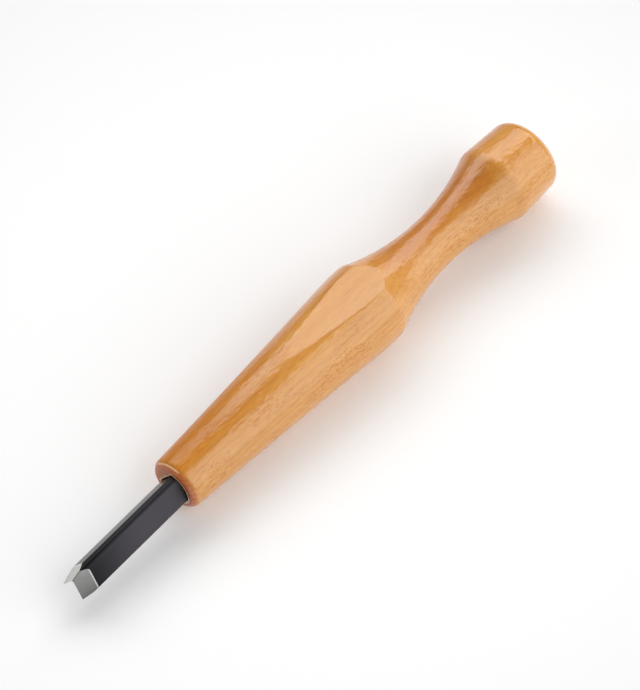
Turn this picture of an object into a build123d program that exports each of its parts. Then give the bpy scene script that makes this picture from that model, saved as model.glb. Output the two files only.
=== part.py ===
from build123d import *
from math import asin, atan2, cos, degrees, hypot, radians, sin, sqrt, tan
import os

# A carving parting tool: a V-shaped steel blade let into a turned wooden handle.
# Lengths are in millimetres. Both pieces are drawn about the handle's axis, with X running
# from the handle's front face to its butt and the two flats above and below. At the end they
# are laid down as the tool comes to rest: on its lower flat and its knob.

# Handle, from the front to the butt
front_radius = 8.0
front_round = 2.4
cone_length = 75.0
cone_hollow = 0.2
swell_radius = 12.7
swell_entry_round = 80.0
band_length = 5.7
shoulder_round = 3.7
waist_radius = 7.45
waist_sweep_radius = 72.0
knob_radius = 12.15
knob_crown_round = 6.0
knob_length = 16.6
butt_radius = 11.35
butt_round = 3.5

# Two flats on the swell, one above and one below, measured from the axis at the shoulder
flat_distance = 11.25

# Blade: a 60 degree channel that opens downward, with its keel on top
channel_angle = 60.0
wall = 1.6
wing_length = 7.0
keel_round = 1.7
crotch_round = 0.3
wing_corner_round = 0.8
blade_reach = 40.75
bevel_length = 5.15
grinding_allowance = 1.0

# Seat of the blade: the bore was drilled a little off the axis and a little askew, and the
# keel stands a little turned
tang_length = 20.0
bore_clearance = 0.05
bore_end_gap = 1.0
bore_mouth_chamfer = 0.25
bore_offset = 0.3
bore_lean = 1.05
keel_turn = 5.5

# The waist is one arc, from the shoulder through the waist's thinnest place to the knob
shoulder_depth = swell_radius - waist_radius
knob_depth = knob_radius - waist_radius
shoulder_run = sqrt(2 * waist_sweep_radius * shoulder_depth - shoulder_depth**2)
knob_run = sqrt(2 * waist_sweep_radius * knob_depth - knob_depth**2)
shoulder_station = cone_length + band_length
waist_station = shoulder_station + shoulder_run
knob_station = waist_station + knob_run
handle_length = knob_station + knob_length

# The channel's half section, measured from the crotch, where the inner faces meet
half_angle = radians(channel_angle / 2)
keel_apex = wall / sin(half_angle)
keel_top = keel_apex - keel_round * (1 / sin(half_angle) - 1)
crotch_drop = crotch_round * (1 / sin(half_angle) - 1)
inner_edge = (wing_length * sin(half_angle), -wing_length * cos(half_angle))
outer_edge = (inner_edge[0] + wall * cos(half_angle), inner_edge[1] + wall * sin(half_angle))

# Keel and rounded wing corners touch one circle, whose centre is the bore's axis
corner_shift = wing_corner_round * (sin(half_angle) + cos(half_angle))
corner_rise = wing_corner_round * (cos(half_angle) - sin(half_angle))
corner_centre = (outer_edge[0] - corner_shift, outer_edge[1] + corner_rise)
keel_margin = keel_top - wing_corner_round
corner_reach = hypot(corner_centre[0], corner_centre[1])
bore_centre = (keel_margin**2 - corner_reach**2) / (2 * (keel_margin - corner_centre[1]))
bore_radius = keel_top - bore_centre + bore_clearance
crotch_height = -bore_centre

# The blade's section plane at the bore's mouth, with the keel up and its normal toward the butt
mouth = Plane(origin=(0, -bore_offset, 0), x_dir=(0, 1, 0), z_dir=(1, 0, 0))
seat = mouth.rotated((keel_turn, 0, bore_lean), ordering=Extrinsic.XYZ)


with BuildPart() as handle:
    with BuildSketch(Plane.XZ) as profile:
        with BuildLine():
            SagittaArc((0, front_radius), (cone_length, swell_radius), -cone_hollow)
            Line((cone_length, swell_radius), (shoulder_station, swell_radius))
            ThreePointArc(
                (shoulder_station, swell_radius),
                (waist_station, waist_radius),
                (knob_station, knob_radius),
            )
            Polyline(
                (knob_station, knob_radius),
                (handle_length, butt_radius),
                (handle_length, 0),
                (0, 0),
                (0, front_radius),
            )
        make_face()
        for station, radius, rounding in (
            (0, front_radius, front_round),
            (cone_length, swell_radius, swell_entry_round),
            (shoulder_station, swell_radius, shoulder_round),
            (knob_station, knob_radius, knob_crown_round),
            (handle_length, butt_radius, butt_round),
        ):
            fillet(profile.vertices().sort_by_distance((station, radius))[0], rounding)
    revolve(axis=Axis.X)

    # Each flat is planed in the plane that also touches the knob's crown. It runs out in the
    # cone in front and in the waist behind
    crown = profile.edges().filter_by(GeomType.CIRCLE).sort_by_distance((knob_station, knob_radius))[0]
    crown_run = crown.arc_center.X - shoulder_station
    crown_drop = flat_distance - crown.arc_center.Y
    flat_slope = asin(crown.radius / hypot(crown_run, crown_drop)) - atan2(crown_drop, crown_run)
    with BuildSketch(Plane.XZ):
        with BuildLine():
            Polyline(
                (0, flat_distance - shoulder_station * tan(flat_slope)),
                (waist_station, flat_distance + shoulder_run * tan(flat_slope)),
                (waist_station, 2 * swell_radius),
                (0, 2 * swell_radius),
                close=True,
            )
        make_face()
        mirror(about=Plane.XZ)
    extrude(amount=swell_radius, both=True, mode=Mode.SUBTRACT)

    # Blind bore for the tang, opened from just in front of the face
    with BuildSketch(seat.offset(tang_length + bore_end_gap)):
        Circle(bore_radius)
    extrude(amount=-(tang_length + bore_end_gap + front_round), mode=Mode.SUBTRACT)
    front_face = handle.faces().sort_by(Axis.X)[0]
    chamfer(front_face.inner_wires()[0].edges(), bore_mouth_chamfer)


with BuildPart() as blade:
    with BuildSketch(seat.offset(tang_length)) as channel:
        with BuildLine():
            Polyline(
                (0, crotch_height),
                (inner_edge[0], crotch_height + inner_edge[1]),
                (outer_edge[0], crotch_height + outer_edge[1]),
                (0, crotch_height + keel_apex),
            )
            mirror(about=Plane.YZ)
        make_face()
        fillet(channel.vertices().sort_by(Axis.Y)[-1], keel_round)
        fillet(channel.vertices().sort_by_distance((0, crotch_height))[0], crotch_round)
        for side in (-1, 1):
            tip = (side * outer_edge[0], crotch_height + outer_edge[1])
            fillet(channel.vertices().sort_by_distance(tip)[0], wing_corner_round)
    extrude(amount=-(tang_length + blade_reach + grinding_allowance))

    # Three bevels are ground on the outside: one on each wing, to an edge along its inner
    # face, and a narrow one that takes the ridge between them down to the rounded crotch
    cutting_end = seat.offset(-blade_reach)
    across_wing = (cos(half_angle), sin(half_angle))
    for outward, start_height, thickness in (
        ((across_wing[0], across_wing[1]), crotch_height, wall),
        ((-across_wing[0], across_wing[1]), crotch_height, wall),
        ((0, 1), crotch_height - crotch_drop, keel_apex),
    ):
        into_steel = (-bevel_length * outward[0], -bevel_length * outward[1], thickness)
        bevel = Plane(origin=(0, start_height, 0), z_dir=into_steel)
        split(bisect_by=Plane(cutting_end.location * bevel.location), keep=Keep.TOP)


# At rest the lower flat and the knob's crown bear on the table
pitched = Rot(Y=-degrees(flat_slope))
lying = Compound([handle.part.moved(pitched), blade.part.moved(pitched)]).bounding_box()
rest = Pos(X=-lying.center().X, Z=-lying.min.Z) * pitched
handle.part.move(rest)
blade.part.move(rest)

handle.part.label = "handle"
blade.part.label = "blade"
os.makedirs("parts", exist_ok=True)
export_step(handle.part, "parts/handle.step")
export_step(blade.part, "parts/blade.step")
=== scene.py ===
import math

import bmesh
import bpy
from mathutils import Matrix, Vector


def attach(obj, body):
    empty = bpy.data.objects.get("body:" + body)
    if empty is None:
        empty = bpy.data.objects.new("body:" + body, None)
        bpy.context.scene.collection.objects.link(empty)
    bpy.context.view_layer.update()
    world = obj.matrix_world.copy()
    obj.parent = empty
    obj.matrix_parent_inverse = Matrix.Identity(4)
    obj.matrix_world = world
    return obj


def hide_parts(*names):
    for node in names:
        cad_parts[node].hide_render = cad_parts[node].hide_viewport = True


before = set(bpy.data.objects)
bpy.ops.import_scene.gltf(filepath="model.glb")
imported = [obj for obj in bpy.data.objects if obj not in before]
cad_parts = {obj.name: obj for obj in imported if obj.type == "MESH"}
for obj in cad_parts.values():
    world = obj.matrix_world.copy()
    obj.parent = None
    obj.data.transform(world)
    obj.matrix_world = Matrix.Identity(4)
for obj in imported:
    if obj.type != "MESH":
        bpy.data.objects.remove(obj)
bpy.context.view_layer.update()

millimetre = 0.001

# How the tool lies in the frame, in metres. Its own axis runs from the handle's mouth to its
# butt, pitched a little, because the tool rests on its lower flat and its knob
pitch = 0.0158576
axis_x = Vector((math.cos(pitch), 0.0, math.sin(pitch)))
axis_y = Vector((0.0, 1.0, 0.0))
axis_z = Vector((-math.sin(pitch), 0.0, math.cos(pitch)))
butt = Vector((0.0953016, 0.0, 0.0123456))
handle_length = 0.1498769
mouth = butt - handle_length * axis_x

# The same sizes as the CAD part, in millimetres. The meshes are finer than the CAD's, so that
# reflections run smoothly over them
front_radius, front_round = 8.0, 2.4
cone_length, cone_hollow = 75.0, 0.2
swell_radius, swell_entry_round = 12.7, 80.0
band_length, shoulder_round = 5.7, 3.7
waist_radius, waist_sweep = 7.45, 72.0
knob_radius, knob_crown_round = 12.15, 6.0
knob_length, butt_radius, butt_round = 16.6, 11.35, 3.5
flat_distance = 11.25

wall, wing_length = 1.6, 7.0
keel_round, crotch_round, corner_round = 1.7, 0.3, 0.8
half_angle = math.radians(30.0)
blade_reach, bevel_length, tang_length, grinding_allowance = 40.75, 5.15, 20.0, 1.0
bore_radius, bore_depth, bore_chamfer, bore_offset = 4.9534, 21.0, 0.25, 0.3
crotch_height = 3.4034
lean, turn = math.radians(1.05), math.radians(5.5)

# The bore comes in beside the blade's two faces: the angle from the top at which each face
# stands, how far the bore comes in there, and the cosine from that angle at which it starts
face_angle = math.radians(60.0)
bore_sides = ((face_angle - turn, 1.4), (-face_angle - turn, 0.35))
bore_ease = 0.669


def waist_run(depth):
    """How far along the handle the waist's arc takes to come out by a depth."""
    return math.sqrt(2 * waist_sweep * depth - depth**2)


shoulder_at = cone_length + band_length
waist_at = shoulder_at + waist_run(swell_radius - waist_radius)
knob_at = waist_at + waist_run(knob_radius - waist_radius)
butt_at = knob_at + knob_length

# How fine the meshes are, in millimetres, steps and degrees. The points round the handle crowd
# toward the flats' edges, and past the ends of the flats toward a plain edge some way off
profile_step = 0.62
level_step, level_count = 2.0, 20
steps_on_flat, steps_beside_flat, crowding = 12, 34, 1.9
narrowest_edge, plain_edge, edge_fade = 2.5, 20.0, 14.0
crease_blend, crease_margin = 0.045, 3.0
bore_middle = 6.0


def to_frame(x, y, z):
    """A point in millimetres along the tool's own axes, as metres in the frame."""
    return mouth + millimetre * (x * axis_x + y * axis_y + z * axis_z)


def in_frame(vector):
    """A direction given along the tool's own axes, in the frame."""
    return vector.x * axis_x + vector.y * axis_y + vector.z * axis_z


def smooth(share):
    """A smooth step from 0 to 1."""
    share = max(0.0, min(1.0, share))
    return share * share * (3.0 - 2.0 * share)


def new_piece(name, shape, material, replaced, sharp_degrees):
    points, faces = shape
    mesh = bpy.data.meshes.new(name)
    mesh.from_pydata(points, [], faces)
    mesh.validate()
    made = bpy.data.objects.new(name, mesh)
    bpy.context.scene.collection.objects.link(made)
    mesh.polygons.foreach_set("use_smooth", [True] * len(mesh.polygons))
    mesh.set_sharp_from_angle(angle=math.radians(sharp_degrees))
    mesh.materials.append(material)
    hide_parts(replaced)
    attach(made, "root")


# A run of the handle's profile is two functions of a point (x, radius): how far outside the
# run the point is, and the run's nearest point
def straight_run(start, end):
    (x0, r0), (x1, r1) = start, end
    size = math.hypot(x1 - x0, r1 - r0)
    dx, dr = (x1 - x0) / size, (r1 - r0) / size

    def distance(x, r):
        return (r - r0) * dx - (x - x0) * dr

    def foot(x, r):
        along = (x - x0) * dx + (r - r0) * dr
        return x0 + along * dx, r0 + along * dr

    return distance, foot


def hollow_run(centre_x, centre_r, radius):
    """An arc whose centre is outside the wood."""
    def distance(x, r):
        return radius - math.hypot(x - centre_x, r - centre_r)

    def foot(x, r):
        share = radius / math.hypot(x - centre_x, r - centre_r)
        return centre_x + share * (x - centre_x), centre_r + share * (r - centre_r)

    return distance, foot


def fillet_centre(first, second, corner, radius):
    """The centre of the round between two runs, by Newton's method: it lies one radius inside
    both. The runs are given by their distances."""
    x, r = corner[0], corner[1] - radius
    step = 1e-5
    for _ in range(30):
        a, b = first(x, r) + radius, second(x, r) + radius
        ax = (first(x + step, r) + radius - a) / step
        ar = (first(x, r + step) + radius - a) / step
        bx = (second(x + step, r) + radius - b) / step
        br = (second(x, r + step) + radius - b) / step
        det = ax * br - ar * bx
        x -= (a * br - b * ar) / det
        r -= (b * ax - a * bx) / det
    return x, r


def handle_profile():
    """Stations (x, radius) along the handle's outside, from its front face to its butt."""
    chord = math.hypot(cone_length, swell_radius - front_radius)
    cone_arc = (chord**2 / 4 + cone_hollow**2) / (2 * cone_hollow)
    dx, dr = cone_length / chord, (swell_radius - front_radius) / chord
    rise = cone_arc - cone_hollow
    middle = cone_length / 2, (front_radius + swell_radius) / 2
    face = straight_run((0.0, 0.0), (0.0, front_radius))
    cone = hollow_run(middle[0] - dr * rise, middle[1] + dx * rise, cone_arc)
    band = straight_run((cone_length, swell_radius), (shoulder_at, swell_radius))
    waist = hollow_run(waist_at, waist_radius + waist_sweep, waist_sweep)
    knob = straight_run((knob_at, knob_radius), (butt_at, butt_radius))
    end = straight_run((butt_at, butt_radius), (butt_at, 0.0))
    stations = []
    for before, after, corner, radius, steps in (
        (face, cone, (0.0, front_radius), front_round, 14),
        (cone, band, (cone_length, swell_radius), swell_entry_round, 12),
        (band, waist, (shoulder_at, swell_radius), shoulder_round, 12),
        (waist, knob, (knob_at, knob_radius), knob_crown_round, 12),
        (knob, end, (butt_at, butt_radius), butt_round, 16),
    ):
        (before_distance, before_foot), (after_distance, after_foot) = before, after
        cx, cr = fillet_centre(before_distance, after_distance, corner, radius)
        sx, sr = before_foot(cx, cr)
        ex, er = after_foot(cx, cr)
        if stations:
            px, pr = stations[-1]
            count = max(2, int(math.hypot(sx - px, sr - pr) / profile_step))
            for i in range(1, count):
                share = i / count
                stations.append(before_foot(px + (sx - px) * share, pr + (sr - pr) * share))
        start = math.atan2(sr - cr, sx - cx)
        sweep = math.atan2(er - cr, ex - cx) - start
        for i in range(steps + 1):
            angle = start + sweep * i / steps
            stations.append((cx + radius * math.cos(angle), cr + radius * math.sin(angle)))
    return stations


def flat_height(x):
    """How far from the axis the flats are, at a station along the handle."""
    return flat_distance + (x - shoulder_at) * math.tan(pitch)


def soft_least(a, b):
    """The lesser of two heights, with the crease between them a little rounded."""
    low = min(a, b)
    return low - crease_blend * math.log(
        math.exp((low - a) / crease_blend) + math.exp((low - b) / crease_blend)
    )


def crowded(count, towards_end):
    """Shares from 0 to 1 that crowd towards one end."""
    shares = [i / count for i in range(count + 1)]
    if towards_end:
        return [1 - (1 - share) ** crowding for share in shares]
    return [share**crowding for share in shares]


def bore_reach(angle):
    """The bore's radius at an angle from the top toward +Y, in millimetres."""
    return bore_radius - sum(
        size * smooth((math.cos(angle - facing) - bore_ease) / (1.0 - bore_ease))
        for facing, size in bore_sides
    )


def handle_mesh():
    """Points and faces of the handle: rings along its outside, and along the bore."""
    stations = handle_profile()
    cut = [math.acos(min(1.0, flat_height(x) / r)) for x, r in stations]
    leaf = [x for (x, _), angle in zip(stations, cut) if angle > 0]
    first, last = min(leaf), max(leaf)
    inner, outer = crowded(steps_on_flat, True), crowded(steps_beside_flat, False)
    points, rings = [], []
    for (x, r), angle in zip(stations, cut):
        away = smooth(max(first - x, x - last, 0.0) / edge_fade)
        spread = narrowest_edge + (plain_edge - narrowest_edge) * away
        edge = max(angle, math.radians(spread))
        quarter = [edge * share for share in inner]
        quarter += [edge + (math.pi / 2 - edge) * share for share in outer[1:]]
        half = quarter + [math.pi - a for a in reversed(quarter[:-1])]
        whole = half + [math.pi + a for a in half[1:-1]]
        ring = []
        for a in whole:
            y, z = -r * math.sin(a), r * math.cos(a)
            size = abs(z)
            if first - crease_margin < x < last + crease_margin:
                size = soft_least(size, flat_height(x))
            ring.append(len(points))
            points.append(to_frame(x, y, math.copysign(size, z)))
        rings.append(ring)
    count = len(rings[0])

    # The bore: its chamfer, wall and blind end, round the blade's own leaning axis
    turns = [math.atan2(points[i].y, (points[i] - mouth).dot(axis_z)) for i in rings[0]]
    inside = []
    for depth, wider in (
        (0.0, bore_chamfer), (bore_chamfer, 0.0), (bore_middle, 0.0), (bore_depth, 0.0)
    ):
        middle = depth * math.tan(lean) - bore_offset
        ring = []
        for a in turns:
            radius = bore_reach(a) + wider
            ring.append(len(points))
            points.append(to_frame(depth, radius * math.sin(a) + middle, radius * math.cos(a)))
        inside.append(ring)
    order = inside[::-1] + rings
    faces = [list(order[0])]
    for one, two in zip(order, order[1:]):
        for i in range(count):
            j = (i + 1) % count
            faces.append((one[i], two[i], two[j], one[j]))
    faces.append(order[-1][::-1])
    return points, faces


def rounded_outline(corners):
    """A closed outline with each corner rounded: corners are (x, y, radius, steps)."""
    outline = []
    for i, (x, y, radius, steps) in enumerate(corners):
        here = Vector((x, y))
        if radius == 0:
            outline.append(here)
            continue
        back = (Vector(corners[i - 1][:2]) - here).normalized()
        ahead = (Vector(corners[(i + 1) % len(corners)][:2]) - here).normalized()
        half = math.acos(max(-1.0, min(1.0, back.dot(ahead)))) / 2
        centre = here + (back + ahead).normalized() * radius / math.sin(half)
        start = here + back * radius / math.tan(half) - centre
        end = here + ahead * radius / math.tan(half) - centre
        sweep = start.angle_signed(end)
        for k in range(steps + 1):
            a = -sweep * k / steps
            outline.append(centre + Vector((
                start.x * math.cos(a) - start.y * math.sin(a),
                start.x * math.sin(a) + start.y * math.cos(a),
            )))
    return outline


def blade_directions():
    """Across the blade, up its keel and along it, in the tool's own axes."""
    side = Vector((
        -math.cos(turn) * math.sin(lean), math.cos(turn) * math.cos(lean), math.sin(turn)
    ))
    axial = Vector((math.cos(lean), math.sin(lean), 0.0))
    return side, axial.cross(side), axial


def blade_mesh():
    """The channel, drawn along its own axis and then cut by the three bevels."""
    sine, cosine = math.sin(half_angle), math.cos(half_angle)
    inner = wing_length * sine, crotch_height - wing_length * cosine
    outer = inner[0] + wall * cosine, inner[1] + wall * sine
    keel_apex = wall / sine
    outline = rounded_outline([
        (0.0, crotch_height, crotch_round, 6),
        (inner[0], inner[1], 0, 0),
        (outer[0], outer[1], corner_round, 8),
        (0.0, crotch_height + keel_apex, keel_round, 16),
        (-outer[0], outer[1], corner_round, 8),
        (-inner[0], inner[1], 0, 0),
    ])
    shape = bmesh.new()
    levels = [-blade_reach - grinding_allowance]
    levels += [-blade_reach + level_step * i for i in range(1, level_count + 1)]
    levels.append(tang_length)
    rows = [[shape.verts.new((p.x, p.y, level)) for p in outline] for level in levels]
    for one, two in zip(rows, rows[1:]):
        for i in range(len(outline)):
            j = (i + 1) % len(outline)
            shape.faces.new((one[i], one[j], two[j], two[i]))
    shape.faces.new(rows[0][::-1])
    shape.faces.new(rows[-1])

    # One bevel on each wing, and a narrow one that takes the ridge between them down
    for outward, height, thick in (
        ((cosine, sine), crotch_height, wall),
        ((-cosine, sine), crotch_height, wall),
        ((0.0, 1.0), crotch_height - crotch_round, keel_apex),
    ):
        cut = bmesh.ops.bisect_plane(
            shape, geom=shape.verts[:] + shape.edges[:] + shape.faces[:], dist=1e-6,
            plane_co=(0.0, height, -blade_reach),
            plane_no=(-bevel_length * outward[0], -bevel_length * outward[1], thick),
            clear_inner=True,
        )
        edges = [e for e in cut["geom_cut"] if isinstance(e, bmesh.types.BMEdge)]
        bmesh.ops.edgenet_fill(shape, edges=edges)
    bmesh.ops.recalc_face_normals(shape, faces=shape.faces[:])
    side, keel, axial = blade_directions()
    points = []
    for v in shape.verts:
        at = v.co.x * side + v.co.y * keel + v.co.z * axial
        points.append(to_frame(at.x, at.y - bore_offset, at.z))
    shape.verts.index_update()
    faces = [[v.index for v in f.verts] for f in shape.faces]
    shape.free()
    return points, faces


def outer_faces():
    """The outer faces of the two wings: their normals and places in the frame, in metres."""
    side, keel, _ = blade_directions()
    crotch = crotch_height * keel
    at_crotch = to_frame(crotch.x, crotch.y - bore_offset, crotch.z)
    found = []
    for sign in (1.0, -1.0):
        outward = sign * math.cos(half_angle) * side + math.sin(half_angle) * keel
        outward = in_frame(outward)
        found.append((outward, at_crotch.dot(outward) + millimetre * wall))
    return found


def srgb(red, green, blue):
    """A colour read as 8-bit sRGB, as linear values."""
    values = []
    for level in (red, green, blue):
        level /= 255.0
        values.append(level / 12.92 if level <= 0.04045 else ((level + 0.055) / 1.055) ** 2.4)
    return tuple(values)


class Nodes:
    """A material with short names for the few kinds of node that it uses."""

    def __init__(self, name):
        self.material = bpy.data.materials.new(name)
        self.material.use_nodes = True
        self.tree = self.material.node_tree
        self.tree.nodes.clear()

    def put(self, target, value):
        """Link another node's output to a socket, or set a plain value on it."""
        if isinstance(value, bpy.types.NodeSocket):
            self.tree.links.new(value, target)
        elif target.type == "RGBA":
            target.default_value = (*value, 1.0)
        else:
            target.default_value = value

    def add(self, kind, inputs=None, **settings):
        made = self.tree.nodes.new(kind)
        for key, value in settings.items():
            setattr(made, key, value)
        for name, value in (inputs or {}).items():
            self.put(made.inputs[name], value)
        return made

    def show(self, shader):
        """Put a shader on the surface, which completes the material."""
        self.add("ShaderNodeOutputMaterial", {"Surface": shader.outputs[0]})
        return self.material

    def coordinate(self, name):
        return self.add("ShaderNodeTexCoord").outputs[name]

    def parts(self, vector):
        made = self.add("ShaderNodeSeparateXYZ", {0: vector})
        return made.outputs["X"], made.outputs["Y"], made.outputs["Z"]

    def math(self, operation, a, b=0.0):
        return self.add("ShaderNodeMath", {0: a, 1: b}, operation=operation).outputs[0]

    def plus(self, a, b):
        return self.math("ADD", a, b)

    def minus(self, a, b):
        return self.math("SUBTRACT", a, b)

    def times(self, first, *factors):
        for factor in factors:
            first = self.math("MULTIPLY", first, factor)
        return first

    def most(self, first, *others):
        for other in others:
            first = self.math("MAXIMUM", first, other)
        return first

    def length(self, vector):
        made = self.add("ShaderNodeVectorMath", {0: vector}, operation="LENGTH")
        return made.outputs["Value"]

    def dot(self, vector, constant):
        inputs = {0: vector, 1: constant}
        made = self.add("ShaderNodeVectorMath", inputs, operation="DOT_PRODUCT")
        return made.outputs["Value"]

    def stretch(self, vector, scale=(1.0, 1.0, 1.0), shift=(0.0, 0.0, 0.0), turned=(0.0, 0.0, 0.0)):
        inputs = {"Vector": vector, "Scale": scale, "Location": shift, "Rotation": turned}
        return self.add("ShaderNodeMapping", inputs).outputs[0]

    def zone(self, value, start, end, low=0.0, high=1.0, interpolation="SMOOTHSTEP"):
        """Low before start and high past end, with a step between that is smooth by default."""
        inputs = {
            "Value": value, "From Min": start, "From Max": end, "To Min": low, "To Max": high,
        }
        made = self.add("ShaderNodeMapRange", inputs, interpolation_type=interpolation)
        return made.outputs["Result"]

    def noise(self, vector, scale, detail, roughness, distortion=0.0, shift=(0.0, 0.0, 0.0)):
        made = self.add("ShaderNodeTexNoise", {
            "Vector": self.stretch(vector, scale, shift), "Scale": 1.0,
            "Detail": detail, "Roughness": roughness, "Distortion": distortion,
        })
        return made.outputs["Fac"]

    def ramp(self, factor, stops):
        """A ramp through stops, each a place with a grey level or a colour."""
        made = self.add("ShaderNodeValToRGB", {"Fac": factor})
        elements = made.color_ramp.elements
        while len(elements) < len(stops):
            elements.new(0.5)
        for element, (place, colour) in zip(elements, stops):
            element.position = place
            if not isinstance(colour, tuple):
                colour = (colour, colour, colour)
            element.color = (*colour, 1.0)
        return made.outputs["Color"]

    def mix(self, factor, a, b, blend="MIX"):
        made = self.add("ShaderNodeMix", data_type="RGBA", blend_type=blend)
        for name, value in (("Factor_Float", factor), ("A_Color", a), ("B_Color", b)):
            self.put(next(s for s in made.inputs if s.identifier == name), value)
        return next(s for s in made.outputs if s.identifier == "Result_Color")

    def bump(self, height, strength, distance):
        inputs = {"Height": height, "Strength": strength, "Distance": distance}
        return self.add("ShaderNodeBump", inputs).outputs["Normal"]


# In the wood's functions, x and facing are along the frame's X axis, which is close to the
# handle's own, and round_to says where a point stands round the handle: 1 toward +Y and -1
# toward -Y, with the grain's waver
def varnished(n, base, x, facing, round_to, ease, broad):
    """The broad colours of the varnish, laid over the wood's own, with painted light and shade, and
    where the ends are.
    """
    painted_light_side = srgb(223, 160, 83)
    nose_pale_shade, nose_amber_shade = srgb(212, 150, 76), srgb(199, 124, 25)
    shade_amber = srgb(192, 115, 27)
    mouth_end_grain, butt_end_grain = srgb(208, 118, 80), srgb(184, 116, 50)
    rim_shade_red, rim_highlight_pale = srgb(208, 108, 54), srgb(255, 208, 166)

    # Painted light: the wood is paler and yellower toward -Y, standing in for the fill lamp's
    # reflection on that side
    base = n.mix(ease, base, painted_light_side)

    # Painted shade: the colour is darker toward the mouth, where the key lamp's highlight fades.
    front = n.zone(n.plus(x, n.times(broad, 0.02)), 0.012, -0.030)
    base = n.mix(n.times(front, ease, 0.6), base, nose_pale_shade)
    spared = n.minus(0.93, n.times(ease, 0.93))
    base = n.mix(n.times(front, spared), base, nose_amber_shade)

    # Painted shade: the colour is a darker amber toward +Y, across the waist and over the front of
    # the knob, deepening the dark reflection bands there.
    plus_y_shade = n.times(n.zone(round_to, 0.34, 0.90), 0.85)
    waist = n.times(
        n.zone(x, 0.026, 0.040), n.zone(x, 0.082, 0.066), n.zone(round_to, -0.80, 0.05), 0.76
    )
    knob = n.times(
        n.zone(x, 0.056, 0.066), n.zone(x, 0.081, 0.073), n.zone(round_to, -0.75, -0.10), 0.88
    )
    base = n.mix(n.most(plus_y_shade, waist, knob), base, shade_amber)

    # End grain at the mouth and the butt drinks more of the varnish
    ends = n.ramp(n.math("ABSOLUTE", facing), [(0.58, 0.0), (0.86, 1.0)])
    soak = n.mix(n.math("GREATER_THAN", facing, 0.0), mouth_end_grain, butt_end_grain)
    base = n.mix(n.times(ends, 0.8), base, soak)

    # Painted shade makes the front rim redder on its -Y side, where it reflects the dark floor, and
    # a painted highlight runs pale along its top
    rim_shade = n.times(n.zone(facing, -0.42, -0.60), n.zone(round_to, 0.05, -0.40))
    base = n.mix(n.times(rim_shade, 0.6), base, rim_shade_red)
    rim_highlight = n.times(
        n.zone(facing, -0.54, -0.62), n.zone(facing, -0.78, -0.70),
        n.zone(round_to, -0.40, 0.0), n.zone(round_to, 1.0, 0.6),
    )
    return n.mix(n.times(rim_highlight, 0.75), base, rim_highlight_pale), ends


def grained(n, base, slanted, ends, calm, streak, fibre):
    """Growth rings, streaks and fibres, each multiplied onto the colour."""
    rings = n.add(
        "ShaderNodeTexWave",
        {
            "Vector": n.stretch(slanted, (30.0, 620.0, 620.0), (0.0, 0.4, 0.0)),
            "Scale": 0.3, "Distortion": 3.5, "Detail": 2.0, "Detail Scale": 0.35,
        },
        wave_type="BANDS", bands_direction="Z", wave_profile="SIN",
    )
    ring_tones = [
        (0.05, (0.90, 0.80, 0.66)), (0.35, (1.0, 1.0, 1.0)), (1.0, (1.04, 1.06, 1.12))
    ]
    streak_tones = [(0.34, (0.88, 0.80, 0.68)), (0.62, (1.05, 1.06, 1.12))]
    fibre_tones = [
        (0.30, (0.88, 0.74, 0.55)), (0.50, (1.0, 1.0, 1.0)), (0.70, (1.08, 1.16, 1.40))
    ]
    for strength, source, tones in (
        (n.plus(n.times(ends, 0.4), n.times(calm, 0.34)), rings.outputs["Fac"], ring_tones),
        (n.times(calm, 0.45), streak, streak_tones),
        (0.7, fibre, fibre_tones),
    ):
        base = n.mix(strength, base, n.ramp(source, tones), "MULTIPLY")
    return base


def flecks(n, slanted, flat):
    """Short fine flecks, as beech has: in patches, and hardly any on the planed flats."""
    layers = []
    for scale, shift in (
        ((420.0, 1500.0, 1500.0), (0.0, 0.0, 0.0)), ((600.0, 2100.0, 2100.0), (5.0, 3.0, 1.0))
    ):
        inputs = {"Vector": n.stretch(slanted, scale, shift), "Scale": 1.0}
        cells = n.add("ShaderNodeTexVoronoi", inputs, feature="F1", distance="EUCLIDEAN")
        layers.append(n.ramp(cells.outputs["Distance"], [(0.20, 1.0), (0.36, 0.0)]))
    found = n.mix(1.0, *layers, "LIGHTEN")
    patches = n.noise(slanted, (45.0, 160.0, 160.0), 1.0, 0.5, shift=(3.0, 1.0, 2.0))
    found = n.mix(1.0, found, n.ramp(patches, [(0.42, 0.12), (0.62, 1.0)]), "MULTIPLY")
    return n.times(found, n.minus(1.0, n.times(flat, 0.9)))


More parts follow.
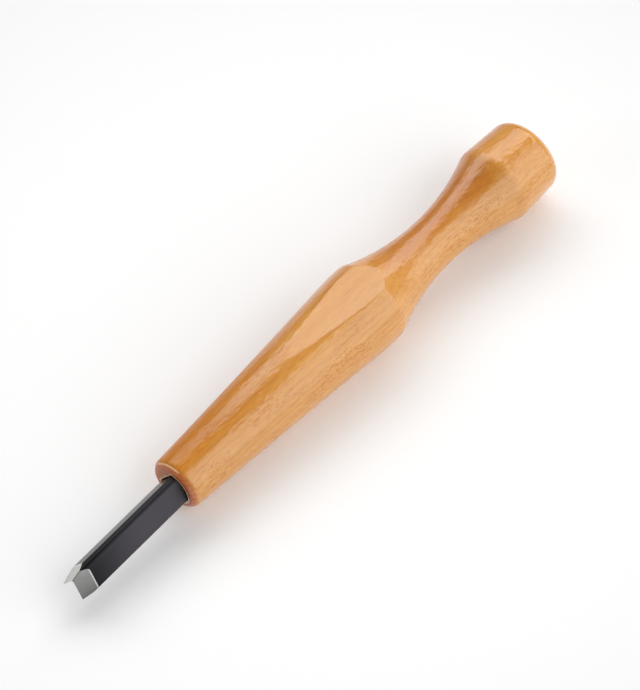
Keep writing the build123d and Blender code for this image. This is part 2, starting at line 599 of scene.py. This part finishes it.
def bored(n, base, place, x, round_to):
    """Bare pale wood where the bore was opened, a painted dark strip beside the mouth, and painted
    light fading to painted shade inside the bore.
    """
    bare, strip_shade_red = srgb(244, 201, 149), srgb(150, 64, 18)
    bore_painted_light, bore_painted_shade = srgb(255, 223, 177), srgb(104, 59, 27)
    face_skin, bore_wall = 0.0012, 4.98
    start_depth, end_depth = 0.0010, 0.0032

    # The distance from the bore's axis in millimetres, with what the bore comes in by added,
    # so that the rings follow its outline
    millimetres = 1000.0
    centre = mouth - millimetre * bore_offset * axis_y
    from_centre = n.stretch(
        place, (0.0, millimetres, millimetres),
        (0.0, -millimetres * centre.y, -millimetres * centre.z),
    )
    outward = n.add("ShaderNodeVectorMath", {0: from_centre}, operation="NORMALIZE").outputs[0]
    width = n.length(from_centre)
    for angle, size in bore_sides:
        toward = n.dot(outward, (0.0, math.sin(angle), math.cos(angle)))
        width = n.plus(width, n.zone(toward, bore_ease, 1.0, high=size))

    # The ramps' places are in centimetres
    in_centimetres = n.times(width, 0.1)
    near_mouth = n.math("LESS_THAN", x, mouth.x + face_skin)
    ring = n.ramp(in_centimetres, [
        (0.492, 0.0), (0.498, 1.0), (0.550, 1.0), (0.557, 0.1), (0.565, 0.1), (0.572, 0.75),
        (0.584, 0.0),
    ])
    base = n.mix(n.times(near_mouth, ring), base, bare)
    # Painted shade: a dark red strip round the mouth's -Y side, where the black blade is reflected
    mouth_shade_strip = n.ramp(in_centimetres, [(0.572, 0.0), (0.586, 1.0), (0.612, 1.0), (0.645, 0.0)])
    mouth_shade_strip = n.times(near_mouth, mouth_shade_strip, n.zone(round_to, 0.30, -0.20), 0.8)
    base = n.mix(mouth_shade_strip, base, strip_shade_red)
    # Inside the bore, painted light near the mouth fades to painted shade deeper in
    depth = n.zone(x, mouth.x + start_depth, mouth.x + end_depth)
    inside = n.times(n.math("LESS_THAN", width, bore_wall), n.math("LESS_THAN", x, 0.0))
    return n.mix(inside, base, n.mix(depth, bore_painted_light, bore_painted_shade))


def wood_material():
    n = Nodes("varnished_wood_grain")
    place = n.coordinate("Object")
    x, y, z = n.parts(place)
    facing, _, facing_up = n.parts(n.coordinate("Normal"))

    # The growth rings run a little aslant to the handle
    slanted = n.stretch(place, turned=(0.35, math.radians(1.5), math.radians(2.0)))
    broad = n.noise(slanted, (7.0, 90.0, 90.0), 2.0, 0.5, 0.5)
    streak = n.noise(slanted, (22.0, 520.0, 520.0), 3.0, 0.6, 0.2)
    fibre = n.noise(slanted, (240.0, 2600.0, 2600.0), 2.0, 0.65)
    base = n.ramp(broad, [
        (0.28, srgb(205, 134, 42)),
        (0.45, srgb(214, 144, 51)),
        (0.58, srgb(220, 153, 61)),
        (0.75, srgb(210, 139, 46)),
    ])

    # The planed flats show a quieter grain
    flat = n.zone(n.math("ABSOLUTE", facing_up), 0.9990, 0.9997)
    calm = n.minus(1.0, n.times(flat, 0.7))

    # Where a point stands round the handle's own axis
    axis_height = n.plus(n.times(x, math.tan(pitch)), butt.z - butt.x * math.tan(pitch))
    above = n.minus(z, axis_height)
    from_axis = n.math("SQRT", n.plus(n.times(y, y), n.times(above, above)))
    waver = n.times(n.minus(n.plus(broad, streak), 1.0), 0.8, calm)
    round_to = n.plus(n.math("DIVIDE", y, from_axis), waver)

    ease = n.zone(round_to, 0.15, -0.85)
    base, ends = varnished(n, base, x, facing, round_to, ease, broad)
    base = grained(n, base, slanted, ends, calm, streak, fibre)
    fleck = flecks(n, slanted, flat)
    marked = n.times(fleck, n.plus(n.times(ease, 0.26), 0.26))
    base = n.mix(marked, base, srgb(180, 98, 27))
    base = bored(n, base, place, x, round_to)

    # The varnish is thinner on the +Y side, most of all near the mouth, and sinks into the pores
    coat = n.zone(n.minus(y, n.times(x, 0.25)), 0.005, 0.014, low=1.0, high=0.45)
    pores = n.minus(1.0, n.times(fleck, 0.55))
    lumps = n.noise(slanted, (330.0, 800.0, 800.0), 2.0, 0.6)
    return n.show(n.add("ShaderNodeBsdfPrincipled", {
        "Base Color": base,
        "Roughness": 0.5,
        "Specular IOR Level": 0.1,
        "Normal": n.bump(n.minus(n.times(fibre, 0.5), fleck), 0.12, 0.0001),
        "Coat Weight": n.times(coat, pores),
        "Coat Roughness": 0.13,
        "Coat IOR": 1.61,
        "Coat Normal": n.bump(lumps, n.times(calm, 0.75), 0.00025),
    }))


def steel_material():
    n = Nodes("blackened_ground_steel")
    place = n.coordinate("Object")
    x, _, z = n.parts(place)
    facing, facing_side, _ = n.parts(n.coordinate("Normal"))
    ground = n.math("LESS_THAN", facing, -0.12)
    cloud = n.noise(place, (60.0, 160.0, 160.0), 4.0, 0.6)
    drawn = n.noise(place, (40.0, 2400.0, 2400.0), 2.0, 0.6)
    grind = n.noise(place, (300.0, 300.0, 3200.0), 2.0, 0.6)
    drift = n.times(cloud, 0.006)

    # Black finish, a little paler towards the handle, above all on the -Y wing
    back = n.zone(n.plus(x, drift), -0.0945, -0.0655)
    right_wing = n.zone(facing_side, -0.2, -0.85)
    paler_toward_handle = n.times(back, n.plus(n.times(right_wing, 0.7), 0.3))
    black = n.mix(paler_toward_handle, (0.0008, 0.0006, 0.002), (0.067, 0.063, 0.073))
    black_rough = n.ramp(cloud, [(0.3, 0.21), (0.7, 0.25)])

    # Ground steel: scratches run across the bevels, and the -Y bevel is darker at its foot
    height = n.zone(n.plus(z, drift), 0.009, 0.019, interpolation="LINEAR")
    bright = n.mix(
        n.math("GREATER_THAN", facing_side, 0.1),
        n.ramp(height, [(0.0, (0.155, 0.155, 0.152)), (1.0, (0.36, 0.36, 0.35))]),
        n.ramp(cloud, [(0.3, (0.53, 0.54, 0.52)), (0.7, (0.65, 0.65, 0.61))]),
    )
    bright_rough = n.ramp(grind, [(0.3, 0.46), (0.7, 0.62)])

    # A painted highlight runs along the back rim of each bevel, where it catches the light
    rim_highlight_width = 0.00010
    for outward, level in outer_faces():
        rim = n.math("GREATER_THAN", n.dot(place, outward), level - rim_highlight_width)
        bright = n.mix(n.times(rim, 0.5), bright, (0.83, 0.83, 0.81))

    return n.show(n.add("ShaderNodeBsdfPrincipled", {
        "Base Color": n.mix(ground, black, bright),
        "Metallic": ground,
        "Roughness": n.mix(ground, black_rough, bright_rough),
        "IOR": 1.2,
        "Normal": n.bump(n.mix(ground, n.times(drawn, 0.06), grind), 0.08, 0.0001),
    }))


def floor_material():
    n = Nodes("pale_floor")

    # Painted light and shade: the floor is paler near the tool, lifting the shade the tool casts
    # round it, and a little darker away from it, where the lamps stand nearer
    away = n.zone(n.length(n.coordinate("Object")), 0.06, 0.26)
    shader = n.add("ShaderNodeBsdfPrincipled", {
        "Base Color": n.mix(away, (0.95, 0.95, 0.95), (0.79, 0.79, 0.79)),
        "Roughness": 0.9,
        "Specular IOR Level": 0.0,
    })

    # Seen directly, in the steel or in the varnish, the floor is a little paler than it is, so
    # that it runs into white
    rays = n.add("ShaderNodeLightPath").outputs
    seen = n.most(rays["Is Camera Ray"], rays["Is Glossy Ray"], rays["Is Transmission Ray"])
    glow = n.add("ShaderNodeEmission", {"Color": (1.0, 1.0, 1.0), "Strength": n.times(seen, 0.06)})
    return n.show(n.add("ShaderNodeAddShader", {0: shader.outputs[0], 1: glow.outputs[0]}))


wood, steel = wood_material(), steel_material()
new_piece("turned_handle", handle_mesh(), wood, "handle", sharp_degrees=28)
new_piece("v_blade", blade_mesh(), steel, "blade", sharp_degrees=18)

bpy.ops.mesh.primitive_plane_add(size=6.0, location=(0.0, 0.0, 0.0))
floor = bpy.context.object
floor.name = "floor"
floor.data.materials.append(floor_material())

# The camera's angles were fitted to the tool's outline, and are measured from its own axes
elevation = math.radians(53.828)
heading = math.radians(44.7165)
roll = math.radians(-4.1564)
distance = 1.2
focal_pixels = 3714.2 * distance
photo_height, sensor_size = 690.0, 36.0
middle_column, middle_row = 319.5, 344.5
forward = Vector((
    math.cos(heading) * math.cos(elevation), math.sin(heading) * math.cos(elevation),
    -math.sin(elevation),
))
right = Vector((math.sin(heading), -math.cos(heading), 0.0))
up = right.cross(forward)
right, up = (
    math.cos(roll) * right + math.sin(roll) * up,
    math.cos(roll) * up - math.sin(roll) * right,
)

# The handle's axis, 0.5 mm behind the mouth, lies at this pixel of the photograph
column, row = 174.24, 485.47
pixel_size = distance / focal_pixels
offset = (
    (column - middle_column) * pixel_size * right + (middle_row - row) * pixel_size * up
    + distance * forward
)
position = mouth + 0.0005 * axis_x - in_frame(offset)
rotation = Matrix((in_frame(right), in_frame(up), -in_frame(forward))).transposed()
camera_data = bpy.data.cameras.new("camera")
camera_data.sensor_width = sensor_size
camera_data.lens = focal_pixels / photo_height * sensor_size
camera_data.clip_start = 0.05
camera = bpy.data.objects.new("camera", camera_data)
camera.matrix_world = Matrix.Translation(position) @ rotation.to_4x4()
bpy.context.scene.collection.objects.link(camera)
bpy.context.scene.camera = camera


def softbox(name, direction, far, width, height, radiance):
    """An area lamp that looks at the tool from a direction, with one radiance all over."""
    data = bpy.data.lights.new(name, "AREA")
    data.shape = "RECTANGLE"
    data.size = width
    data.size_y = height
    data.energy = radiance * math.pi * width * height
    lamp = bpy.data.objects.new(name, data)
    direction = Vector(direction).normalized()
    lamp.location = direction * far
    lamp.rotation_euler = direction.to_track_quat("Z", "Y").to_euler()
    bpy.context.scene.collection.objects.link(lamp)


softbox("key", (0.44, 0.51, 0.73), far=3.2, width=5.9, height=2.04, radiance=2.6)
softbox("fill", (0.30, -0.80, 0.50), far=3.2, width=4.4, height=3.96, radiance=1.72)
softbox("rim", (-0.76, 0.50, 0.42), far=1.6, width=0.8, height=0.25, radiance=3.4)

# The room is dim round the lamps
world = bpy.data.worlds.new("studio")
bpy.context.scene.world = world
world.use_nodes = True
world.node_tree.nodes.clear()
background = world.node_tree.nodes.new("ShaderNodeBackground")
background.inputs["Color"].default_value = (1.0, 1.0, 1.0, 1.0)
background.inputs["Strength"].default_value = 0.22
world_out = world.node_tree.nodes.new("ShaderNodeOutputWorld")
world.node_tree.links.new(background.outputs[0], world_out.inputs["Surface"])

bpy.context.scene.view_settings.view_transform = "Standard"
